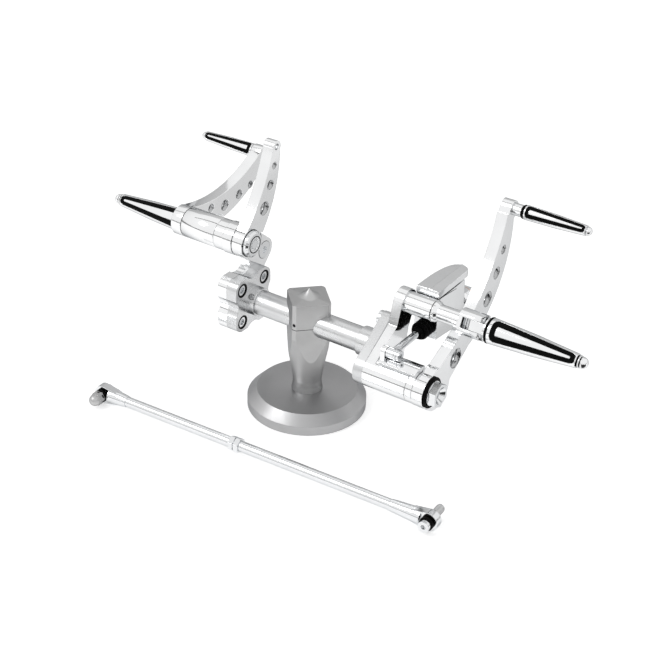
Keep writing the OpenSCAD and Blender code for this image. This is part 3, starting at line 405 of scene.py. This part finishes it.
class FINISH_OT_controls(bpy.types.Operator):
    """Make the finishes and lay each on the solids of its material slot"""

    bl_idname = "controls.finish"
    bl_label = "Finishes"

    def execute(self, context):
        look = context.scene.control_finish
        wear, pebble = handling_group(), pebble_group()
        FINISH.update(
            polished=metal("polished alloy", wear, list(look.alloy), look.polish * 0.6, look.polish * 1.5,
                           look.edge, 0.04),
            bright_steel=metal("bright steel", wear, (0.80, 0.81, 0.82, 1.0), 0.06, 0.16,
                               look.edge * 0.6, 0.05),
            satin_aluminium=metal("satin alloy", wear, (0.70, 0.705, 0.71, 1.0), 0.22, 0.36, look.edge, 0.12,
                                  line=1600.0),
            satin_steel=metal("satin steel", wear, (0.53, 0.53, 0.53, 1.0), look.satin, look.satin + 0.12,
                              look.edge, 0.2, line=1500.0),
            # painted shade: a darker metal for the walls of the lightening holes
            bore=metal("bore painted shade", wear, (0.46, 0.465, 0.47, 1.0), 0.08, 0.18, look.edge * 0.5, 0.1),
            black_screws=metal("black screws", wear, (0.05, 0.05, 0.055, 1.0), 0.3, 0.45,
                               look.edge * 0.5, 0.1),
            bronze=metal("bronze", wear, (0.66, 0.46, 0.22, 1.0), 0.25, 0.4, look.edge * 0.5, 0.1),
            copper=metal("copper", wear, (0.80, 0.42, 0.26, 1.0), 0.2, 0.35, look.edge * 0.5, 0.1),
            rubber=rubber("black rubber", pebble, list(look.rubber), 0.55),
        )
        bare = metal("turned steel", wear, (0.44, 0.44, 0.445, 1.0), 0.28, 0.36, look.edge, 0.1, line=1500.0)
        FINISH["turned_steel"] = lathed(bare, 0.8, 260.0)
        for part in frame["record"]["subparts"]:
            slots = frame["nodes"][part["node"]].data.materials
            slots.clear()
            slots.append(FINISH[LOOK_OF.get(part["node"], part["material_slot"])])
        return {"FINISHED"}


# Pieces


class LEVER_OT_controls(bpy.types.Operator):
    """Make the shift lever: a drilled blade that clears the foot peg below it, and the hub it turns on"""

    bl_idname = "controls.lever"
    bl_label = "Shift lever"

    def execute(self, context):
        polished = FINISH["polished"]
        lower = arc(SHIFT_C + [5, -14.8], SHIFT_TOE + [7.5, -3], -19, 90)
        away = lower - LEFT_PEG
        gap = np.linalg.norm(away, axis=1, keepdims=True)
        lower = LEFT_PEG + away * np.maximum(gap, PEG_RELIEF) / gap
        upper = arc(SHIFT_TOE + [-7.4, 3.5], SHIFT_C + [2, 15.2], 13)
        toe = round_arc(SHIFT_TOE, TOE_R, -20, 152)
        heel = round_arc(SHIFT_C, HUB_R, 82, 288)
        outline = np.vstack([lower, toe, upper, heel])
        holes = [(SHIFT_C + [u, v], r) for u, v, r in LEVER_HOLES]
        blade = sheet_with_holes("lever_blade", outline, holes, *BLADE_X, 0.5, polished)
        hub = [[HUB_BORE, 0.5], [HUB_R - 0.4, 0.5], [HUB_R, 0.9], [HUB_R, HUB_LENGTH - 0.4],
               [HUB_R - 0.4, HUB_LENGTH], [HUB_BORE, HUB_LENGTH]]
        tube = put_mesh("lever_hub", *turned(hub, 96, [BLADE_X[1], *SHIFT_C], [1, 0, 0]), polished)
        for piece in (blade, tube):
            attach(piece, "shift")
            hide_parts("shift_lever")
        return {"FINISHED"}


class BANDS_OT_controls(bpy.types.Operator):
    """Lay painted shade in the turned grooves and in the gaps between hubs that turn on each other, as dark
    bands in the black rubber finish
    """

    bl_idname = "controls.bands"
    bl_label = "Groove bands"

    def lay(self, name, body, verts, faces, smooth):
        """Piece of painted shade in the black rubber finish that moves with a body"""
        piece = put_mesh(name, verts, faces, FINISH["rubber"], smooth=smooth)
        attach(piece, body)

    def gap_ring(self, name, body, x0, x1, r_in, r, c):
        """Flat ring of painted shade about a line across X, between two planes and two radii"""
        profile = [[r_in, 0], [r_in, x1 - x0], [r, x1 - x0], [r + 0.05, 0], [r_in, 0]]
        self.lay(name, body, *turned(profile, 48, [x0, *c], [1, 0, 0]), False)

    def cap_seam(self):
        """Painted shade as a line at the seam of the clamp's cap, a square turned by 45 degrees with a flat
        on each corner
        """
        half_flat = CAP_FLAT / 2
        tip = CAP_HALF * math.sqrt(2) - half_flat + 0.1
        plan = []
        for turn in np.arange(4) * math.pi / 2:
            for side in (-half_flat, half_flat):
                plan.append([tip * math.cos(turn) - side * math.sin(turn),
                             tip * math.sin(turn) + side * math.cos(turn)])
        ring = np.array(plan)
        low, high = BAR_Z - 0.3, BAR_Z + 0.15
        rows = [np.column_stack([ring * share, np.full(len(ring), z)])
                for share, z in ((0.9, low), (1, low), (1, high), (0.9, high))]
        self.lay("cap_seam", "stand", np.vstack(rows) * MM, grid_faces(len(rows), len(ring)), False)

    def groove_band(self, name, body, x0, x1, r, c):
        """Band of painted shade of radius r in a groove about a line across X, with its edges broken"""
        length = x1 - x0
        profile = [[r - 1.2, 0], [r - 0.1, 0], [r, length * 0.2], [r, length * 0.8], [r - 0.1, length],
                   [r - 1.2, length]]
        self.lay(name, body, *turned(profile, 72, [x0, *c], [1, 0, 0]), True)

    def execute(self, context):
        # painted shade in the gaps round the four flange bolts
        corners = ((-1, -1), (1, -1), (1, 1), (-1, 1))
        for n, (y, z) in enumerate(corners):
            bolt = (y * FLANGE_BOLT_OUT, BAR_Z + z * FLANGE_BOLT_OUT)
            self.gap_ring(f"bolt_gap_{n}", "stand", -67.3, -66.9, 5.5, 7.4, bolt)
        # painted shade round the peg's bolt and at the arm's cap, and a dark ring on the cap's face
        self.gap_ring("peg_bolt_gap", "stand", -79.2, -78.95, 8.5, 9.5, LEFT_PEG)
        self.gap_ring("arm_cap_gap", "shift", -66.8, -66.4, 13, 14.1, SHIFT_C)
        self.gap_ring("arm_cap_ring", "shift", -61.6, -61.15, 7.9, 8.9, SHIFT_C)
        self.cap_seam()
        # painted shade in the grooves of the post and the peg tips and in the seams of the hubs
        bands = (
            ("post_band_right", "stand", 130.05, 130.95, 10.2, RIGHT_PEG),
            ("post_band_left", "stand", -118.95, -118.05, 10.2, LEFT_PEG),
            ("tip_band_right_a", "right_foot_peg", 277.1, 278.5, 5.4, RIGHT_PEG),
            ("tip_band_right_b", "right_foot_peg", 279.9, 280.9, 4.7, RIGHT_PEG),
            ("tip_band_left_a", "left_foot_peg", -266.5, -265.1, 5.4, LEFT_PEG),
            ("tip_band_left_b", "left_foot_peg", -268.9, -267.9, 4.7, LEFT_PEG),
            ("hub_band_end", "shift", -142.3, -142.0, 15.3, SHIFT_C),
            ("hub_band_bearing", "shift", -101.35, -101.05, 15.2, SHIFT_C),
            ("arm_band", "brake", 138.55, 138.85, 15.6, BRAKE_C),
            ("lever_band", "brake", 145.95, 146.25, 15.6, BRAKE_C),
        )
        for band in bands:
            self.groove_band(*band)
        return {"FINISHED"}


def plan_ring(half, length, steps=24):
    """Outline of the reservoir cover seen from above, [x, y] with the back at y = 0, counterclockwise.

    The left side bows over to the nose as (-half + 1.3 * half * s^2.6, length * sin(pi / 2 * s)); the nose
    meets the straight right side in a quarter ellipse 0.7 * half wide and 8 mm long.
    """
    t = np.linspace(0, np.pi / 2, steps)
    nose = np.stack([0.3 * half + 0.7 * half * np.sin(t), length - 8 + 8 * np.cos(t)], -1)[::-1]
    s = np.linspace(1, 0, 2 * steps)[1:]
    left = np.stack([-half + 1.3 * half * s ** 2.6, length * np.sin(np.pi / 2 * s)], -1)
    right = np.stack([np.full(steps, half), np.linspace(0, length - 8, steps + 1)[:-1]], -1)
    return np.vstack([right, nose, left])


def bar_mesh(start, end, depth, height):
    """Flat bar between two points, depth thick across X; its height falls to a third at the end"""
    a, b = np.asarray(start, float), np.asarray(end, float)
    rows = []
    for centre, h in ((a, height), (b, height / 3)):
        for dx, dz in ((-depth, -h), (depth, -h), (depth, h), (-depth, h)):
            rows.append(centre + [dx / 2, 0, dz / 2])
    faces = [[0, 1, 5, 4], [1, 2, 6, 5], [2, 3, 7, 6], [3, 0, 4, 7], [3, 2, 1, 0], [4, 5, 6, 7]]
    return np.array(rows) * MM, faces


class BORES_OT_controls(bpy.types.Operator):
    """Lay painted shade in the lightening holes of the levers and the arm: a darker metal lining each hole's
    wall
    """

    bl_idname = "controls.bores"
    bl_label = "Bores"

    def execute(self, context):
        inset = 0.45
        rows = (("lever", "shift", BLADE_X, SHIFT_C, LEVER_HOLES),
                ("arm", "shift", ARM_X, SHIFT_C, ARM_HOLES),
                ("brake", "brake", BRAKE_X, BRAKE_C, BRAKE_HOLES))
        for label, body, (x0, x1), centre, holes in rows:
            length = x1 - x0 - inset * 2
            for n, (u, v, r) in enumerate(holes):
                # each wall is painted shade, a thin darker lining just inside the hole
                wall = [[r + 0.05, 0], [r - 0.12, 0], [r - 0.12, length], [r + 0.05, length], [r + 0.05, 0]]
                foot = [x0 + inset, centre[0] + u, centre[1] + v]
                piece = put_mesh(f"{label}_bore_{n}", *turned(wall, 64, foot, [1, 0, 0]), FINISH["bore"])
                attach(piece, body)
        return {"FINISHED"}


class TANK_OT_controls(bpy.types.Operator):
    """Make the reservoir cover with its long nose, and painted shade as a dark line for the slot below its
    right side
    """

    bl_idname = "controls.tank"
    bl_label = "Tank"

    def shell(self, levels):
        """Loft of plan outlines from rows of [z, half width, y from, length, squeeze towards the crease]"""
        rings = []
        for z, half, y, length, squeeze in levels:
            ring = plan_ring(half, length)
            across = 2.5 + (ring[:, 0] - 2.5) * squeeze
            rings.append(np.column_stack([across + COVER_X, ring[:, 1] + y, np.full(len(ring), z)]))
        return np.vstack(rings) * MM, grid_faces(len(rings), len(rings[0]))

    def execute(self, context):
        low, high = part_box("master_cylinder"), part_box("reservoir_cover")
        back = low[0][1] * 1000
        top = high[0][2] * 1000
        half, length = COVER_HALF, COVER_LENGTH
        levels = [(top, half - 0.65, back + 0.6, length - 1.2, 0.02),
                  (top, half - 0.65, back + 0.6, length - 1.2, 1),
                  (top + 0.4, half, back, length, 1),
                  (top + 6.9, half, back, length, 1),
                  (top + 7.2, half - 0.2, back + 0.2, length - 0.4, 1),
                  (top + 7.9, half - 0.2, back + 0.3, length - 0.4, 0.004)]
        piece = put_mesh("tank_cover", *self.shell(levels), FINISH["polished"], smooth=False)
        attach(piece, "stand")
        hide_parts("reservoir_cover")
        # painted shade: a thin black bar in the rubber finish along the slot
        side = COVER_X + COVER_HALF + 0.05
        line = bar_mesh([side, back + 4, top - 0.2], [side, back + 34, top - 3.6], 0.16, 0.9)
        slot = put_mesh("cover_slot", *line, FINISH["rubber"], smooth=False)
        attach(slot, "stand")
        return {"FINISHED"}


class THREADS_OT_controls(bpy.types.Operator):
    """Lay thread crests on the free end of the rod's right stud and a dark band behind the acorn nut"""

    bl_idname = "controls.threads"
    bl_label = "Threads"

    def execute(self, context):
        detail = context.scene.control_detail
        eye = LINK_MIDDLE + LINK_HALF * LINK_LINE
        along = np.array([-LINK_LINE[1], LINK_LINE[0], 0])
        tip = (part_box("link_stud_right")[1][1] * 1000 - eye[1]) / along[1]
        pitch = detail.thread_pitch * 1000
        inner, root, crest = 3.8, 4.0, 4.32
        rows = [[inner, 0]]
        for k in range(int(THREAD_LENGTH / pitch)):
            rows += [[root, pitch * k + 0.05], [root, pitch * (k + 0.3)]]
            rows += [[crest, pitch * (k + 0.6)], [crest, pitch * (k + 0.75)]]
        rows.append([inner, THREAD_LENGTH])
        foot = eye + along * (tip - THREAD_LENGTH - 0.8)
        piece = put_mesh("stud_thread", *turned(rows, detail.thread_turns, foot, along),
                         FINISH["satin_steel"], smooth=False)
        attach(piece, "right_stud")
        eye = LINK_MIDDLE - LINK_HALF * LINK_LINE
        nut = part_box("link_acorn_nut")
        r = (nut[1][2] - nut[0][2]) * 500 + 0.25
        rows = [[r - 1.5, 9.2], [r - 0.2, 9.2], [r, 9.5], [r, 10.4], [r - 0.2, 10.7], [r - 1.5, 10.7]]
        piece = put_mesh("nut_band", *turned(rows, 48, eye, -along), FINISH["rubber"])
        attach(piece, "left_stud")
        return {"FINISHED"}


class STAGE_OT_controls(bpy.types.Operator):
    """Set up the white floor, the soft light and the camera"""

    bl_idname = "controls.stage"
    bl_label = "Stage"

    def seen_directly(self, nodes, link):
        """Socket that is 1 for camera, glossy and transmission rays and 0 for the rest"""
        path = nodes.new("ShaderNodeLightPath")
        result = path.outputs["Is Camera Ray"]
        for ray in ("Is Glossy Ray", "Is Transmission Ray"):
            either = nodes.new("ShaderNodeMath")
            either.operation = "MAXIMUM"
            link(result, either.inputs[0])
            link(path.outputs[ray], either.inputs[1])
            result = either.outputs[0]
        return result

    def floor(self, colour, lift):
        """White floor: its own light on top of the lamps' light takes it to white and leaves the shadow"""
        reach = 6.0
        corners = [[-reach, -reach, 0], [reach, -reach, 0], [reach, reach, 0], [-reach, reach, 0]]
        material = bpy.data.materials.new("white floor")
        material.use_nodes = True
        nodes, link = material.node_tree.nodes, material.node_tree.links.new
        shader = nodes["Principled BSDF"]
        shader.inputs["Base Color"].default_value = colour
        shader.inputs["Roughness"].default_value = 0.9
        shader.inputs["Specular IOR Level"].default_value = 0.0
        shader.inputs["Emission Color"].default_value = (1, 1, 1, 1)
        level = nodes.new("ShaderNodeMath")
        level.operation = "MULTIPLY"
        level.inputs[1].default_value = lift
        link(self.seen_directly(nodes, link), level.inputs[0])
        link(level.outputs[0], shader.inputs["Emission Strength"])
        sheet = put_mesh("studio_floor", corners, [[0, 1, 2, 3]], material, smooth=False)

    def world(self, fill):
        """World that is white where it is seen or mirrored and gives less light than that"""
        world = bpy.data.worlds.new("studio")
        bpy.context.scene.world = world
        world.use_nodes = True
        nodes, link = world.node_tree.nodes, world.node_tree.links.new
        sky = nodes["Background"]
        sky.inputs["Color"].default_value = (1, 1, 1, 1)
        level = nodes.new("ShaderNodeMapRange")
        level.inputs["To Min"].default_value = fill
        level.inputs["To Max"].default_value = 1.0
        link(self.seen_directly(nodes, link), level.inputs["Value"])
        link(level.outputs["Result"], sky.inputs["Strength"])

    def lamp(self, name, power, size, place, aim):
        """Square area lamp that points at a spot"""
        data = bpy.data.lights.new(name, "AREA")
        data.energy = power
        data.size = size
        lamp = bpy.data.objects.new(name, data)
        lamp.location = place
        lamp.rotation_euler = (Vector(aim) - Vector(place)).to_track_quat("-Z", "Y").to_euler()
        bpy.context.scene.collection.objects.link(lamp)

    def card(self, name, corners, shade):
        """Grey card that only the mirroring metal sees, at the four corners given"""
        material = bpy.data.materials.new(name)
        material.use_nodes = True
        shader = material.node_tree.nodes["Principled BSDF"]
        shader.inputs["Base Color"].default_value = (0, 0, 0, 1)
        shader.inputs["Specular IOR Level"].default_value = 0.0
        shader.inputs["Emission Color"].default_value = (1, 1, 1, 1)
        shader.inputs["Emission Strength"].default_value = shade
        card = put_mesh(name, corners, [[0, 1, 2, 3]], material, smooth=False)
        card.visible_camera = False
        card.visible_diffuse = False
        card.visible_shadow = False
        card.visible_transmission = False

    def cards(self):
        """Greys behind the object for its sides and tops, and dark strips and a horizon for its edges"""
        for name, x0, x1, y0, y1, z, shade in FLOOR_CARDS:
            self.card(name, [[x0, y0, z], [x1, y0, z], [x1, y1, z], [x0, y1, z]], shade)
        wall = [[-2.6, 1.5, 0.5], [0.6, 1.5, 0.5], [0.6, 1.5, 2.2], [-2.6, 1.5, 2.2]]
        self.card("high card", wall, 0.62)
        corners = ((-HORIZON, -HORIZON), (HORIZON, -HORIZON), (HORIZON, HORIZON), (-HORIZON, HORIZON))
        top = HORIZON_TOP
        for n, (x0, y0) in enumerate(corners):
            x1, y1 = corners[(n + 1) % len(corners)]
            self.card(f"horizon {n}", [[x0, y0, 0], [x1, y1, 0], [x1, y1, top], [x0, y0, top]], 0.22)
        strip = [[-1.9, -0.24, 1.7], [0.3, -0.24, 1.7], [0.3, -0.12, 1.7], [-1.9, -0.12, 1.7]]
        self.card("overhead strip", strip, 0.15)

    def camera(self, lens):
        """Camera turned about the aim by its azimuth and elevation, then rolled"""
        data = bpy.data.cameras.new("camera")
        data.lens = lens
        data.sensor_width = 36.0
        az, el, roll = (math.radians(angle) for angle in (CAMERA_AZIMUTH, CAMERA_ELEVATION, CAMERA_ROLL))
        back = Vector((math.sin(az) * math.cos(el), -math.cos(az) * math.cos(el), math.sin(el)))
        right = Vector((math.cos(az), math.sin(az), 0))
        up = back.cross(right)
        across = right * math.cos(roll) + up * math.sin(roll)
        upward = up * math.cos(roll) - right * math.sin(roll)
        camera = bpy.data.objects.new("camera", data)
        place = Vector(CAMERA_AIM) + back * CAMERA_AWAY
        turn = Matrix((across, upward, back)).transposed().to_4x4()
        camera.matrix_world = Matrix.Translation(place) @ turn
        bpy.context.scene.collection.objects.link(camera)
        bpy.context.scene.camera = camera

    def execute(self, context):
        stage = context.scene.control_stage
        context.scene.view_settings.view_transform = "Standard"
        self.floor(list(stage.floor_colour), stage.lift)
        self.world(stage.fill)
        self.lamp("key lamp", stage.key, KEY_SIZE, KEY_PLACE, KEY_AIM)
        self.cards()
        self.camera(stage.lens)
        return {"FINISHED"}


class CONTROLS_PT_panel(bpy.types.Panel):
    """Buttons and sizes for the forward controls"""

    bl_label = "Forward controls"
    bl_idname = "CONTROLS_PT_panel"
    bl_space_type = "VIEW_3D"
    bl_region_type = "UI"
    bl_category = "Controls"

    def draw(self, context):
        column = self.layout.column()
        for group in SETTINGS:
            settings = getattr(context.scene, group)
            for name in settings.__annotations__:
                column.prop(settings, name)
        for operator in OPERATORS:
            column.operator(operator.bl_idname)


SETTINGS = {
    "control_stage": StageSettings,
    "control_finish": FinishSettings,
    "control_detail": DetailSettings,
}
OPERATORS = (FINISH_OT_controls, LEVER_OT_controls, BANDS_OT_controls, TANK_OT_controls,
             THREADS_OT_controls, BORES_OT_controls, STAGE_OT_controls)


def register():
    for cls in (*SETTINGS.values(), *OPERATORS, CONTROLS_PT_panel):
        bpy.utils.register_class(cls)
    for name, cls in SETTINGS.items():
        setattr(bpy.types.Scene, name, PointerProperty(type=cls))


def unregister():
    for name in SETTINGS:
        delattr(bpy.types.Scene, name)
    for cls in reversed((*SETTINGS.values(), *OPERATORS, CONTROLS_PT_panel)):
        bpy.utils.unregister_class(cls)


def main():
    register()
    bpy.ops.controls.finish()
    bpy.ops.controls.lever()
    bpy.ops.controls.bands()
    bpy.ops.controls.tank()
    bpy.ops.controls.threads()
    bpy.ops.controls.bores()
    bpy.ops.controls.stage()


if __name__ == "__main__":
    main()
